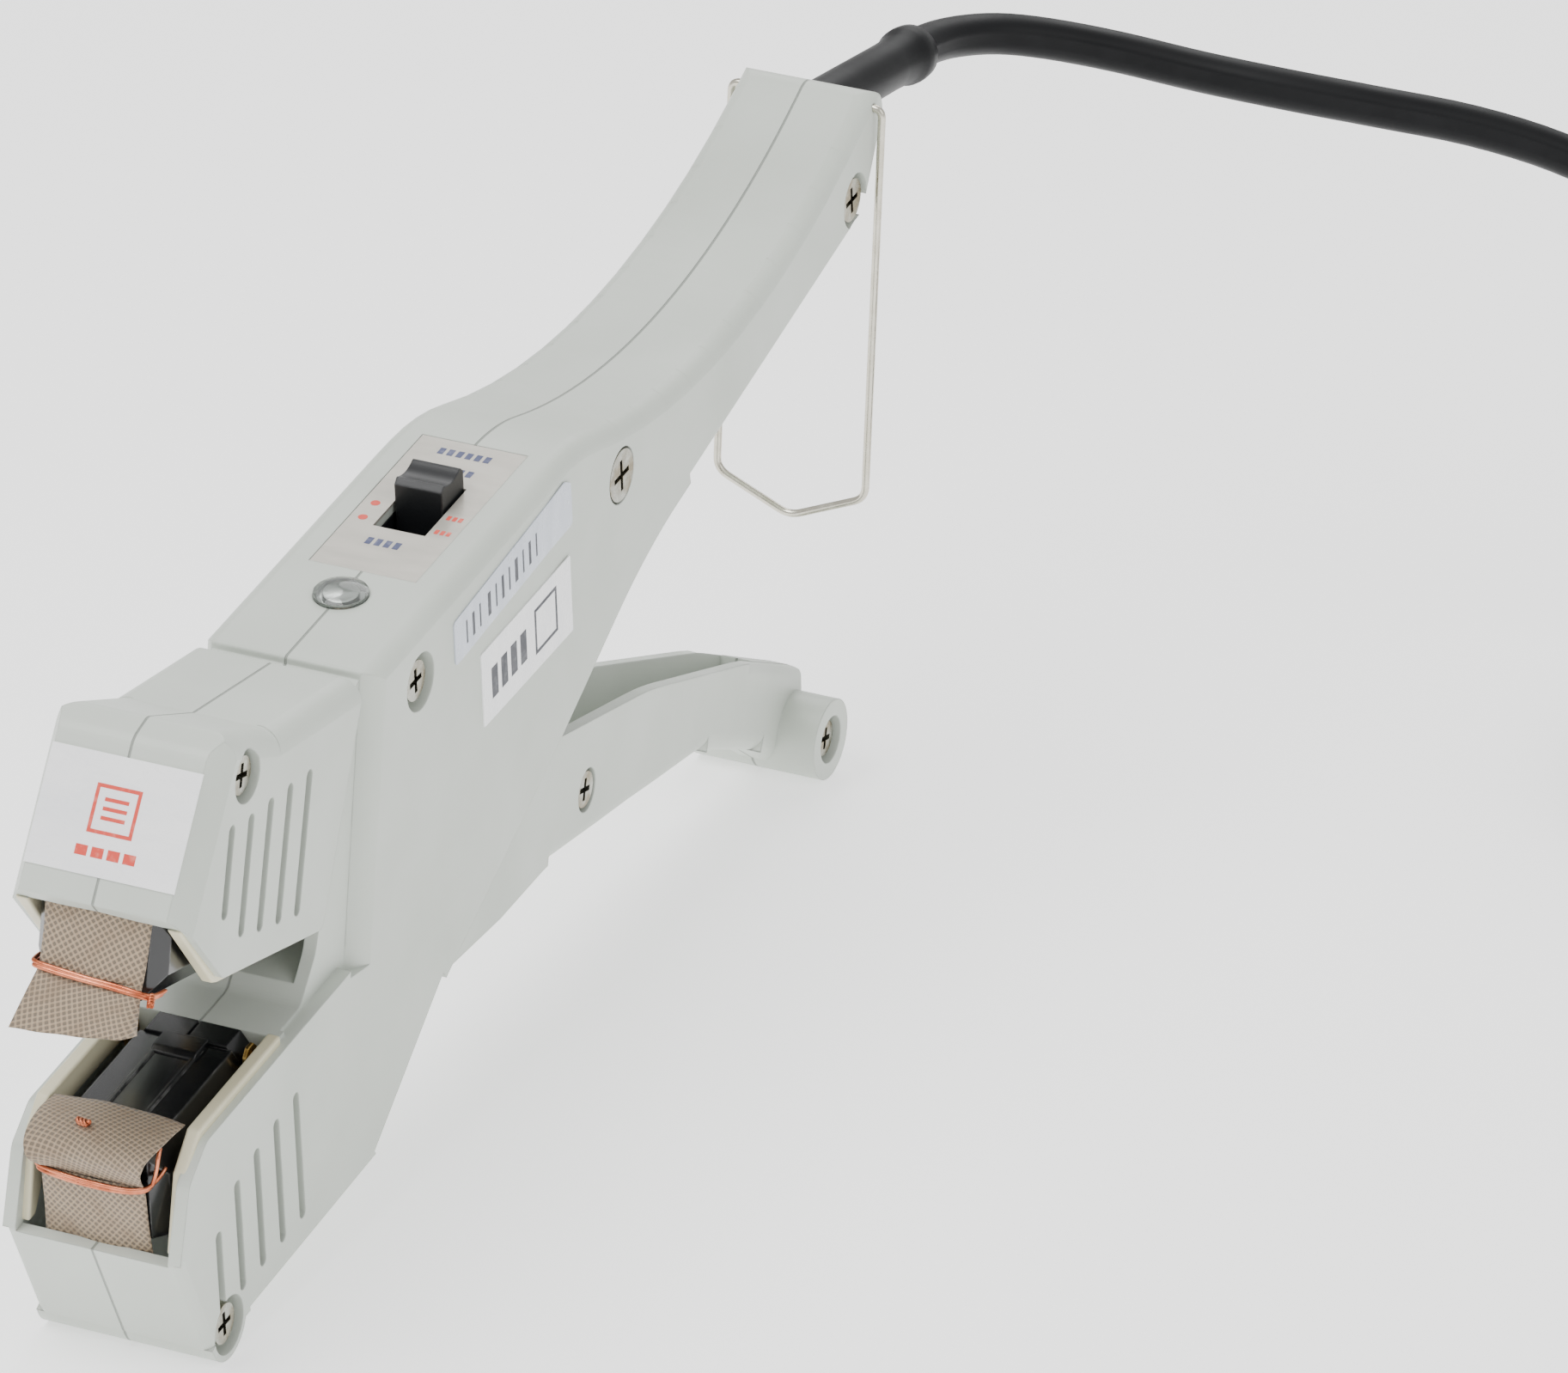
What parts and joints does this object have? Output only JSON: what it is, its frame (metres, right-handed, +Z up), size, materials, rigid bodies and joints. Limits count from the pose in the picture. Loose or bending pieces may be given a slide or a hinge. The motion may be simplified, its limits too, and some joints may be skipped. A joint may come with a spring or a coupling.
{
  "type": "hand-held heat sealer",
  "caption": "Tong-type hand heat sealer with two heated jaws, a squeeze lever, a slide switch, a pilot lamp and a coiled mains cord.",
  "frame": {"origin": "on the table, under the middle of the standing tool, halfway between the tip of the upper cloth and the tip of the cord guard", "axes": "+X across the tool towards the side with the screw heads, +Y from the jaws towards the cord, +Z up"},
  "size_m": [0.289, 0.4524, 0.1468],
  "materials": {
    "shell": "light grey-green moulded plastic with a fine grain",
    "screws": "zinc-plated steel",
    "steel": "plain steel",
    "heater_bar": "black non-stick coating, worn at the edges",
    "insulator": "black heat-proof moulding",
    "brass": "plain brass",
    "release_cloth": "tan resin-coated woven glass cloth",
    "copper": "bright copper wire",
    "switch_plate": "cream printed plate",
    "black_plastic": "black moulding",
    "knob": "black knob",
    "lens": "frosted clear plastic",
    "bulb": "neon bulb",
    "board": "green circuit board",
    "foil_label": "brushed foil",
    "paper_label": "white plastic film",
    "wire": "plated steel wire",
    "guard_rubber": "black soft moulding",
    "cord_rubber": "black satin sheath",
    "strap": "hook and loop strap",
    "plug_rubber": "black moulded plug"
  },
  "bodies": {
    "body": {"body_left": "shell", "body_right": "shell", "body_screws": "screws", "pivot_sleeve": "steel", "pivot_screw": "screws", "return_spring": "steel", "lower_bar": "heater_bar", "lower_heater": "steel", "lower_insulator": "insulator", "lower_terminals": "brass", "lower_cloth": "release_cloth", "lower_tie": "copper", "switch_plate": "switch_plate", "switch_body": "black_plastic", "lamp_lens": "lens", "lamp_bulb": "bulb", "control_board": "board", "side_label": "foil_label", "rating_label": "paper_label", "cord_guard": "guard_rubber", "cord_clamp": "black_plastic", "clamp_screws": "screws", "cord": "cord_rubber", "cord_coil": "cord_rubber", "coil_tie": "strap", "plug_body": "plug_rubber", "plug_blades": "brass"},
    "arm": {"arm_left": "shell", "arm_right": "shell", "arm_screws": "screws", "upper_bar": "heater_bar", "upper_heater": "steel", "upper_insulator": "insulator", "upper_terminals": "brass", "upper_cloth": "release_cloth", "upper_tie": "copper", "front_label": "paper_label"},
    "knob": {"switch_knob": "knob"},
    "latch": {"latch_wire": "wire"}
  },
  "joints": [
    {"name": "jaw_hinge", "type": "hinge", "parent": "body", "child": "arm", "pos_m": [0, -0.08265, 0.10495], "axis": [1, 0, 0], "range_deg": [0, 18], "stiffness_Nm_per_rad": 4, "springref_deg": -29.79, "deforming": ["return_spring", "upper_cloth"]},
    {"name": "switch_slide", "type": "slide", "parent": "body", "child": "knob", "axis": [0, -0.9896, -0.1439], "range_m": [0, 0.008]},
    {"name": "latch_hinge", "type": "hinge", "parent": "body", "child": "latch", "pos_m": [0, 0.13092, 0.14358], "axis": [1, 0, 0], "range_deg": [-2, 36]}
  ],
  "couplings": [
    {"joint": "latch_hinge", "follows": "jaw_hinge", "ratio": 1.9}
  ]
}
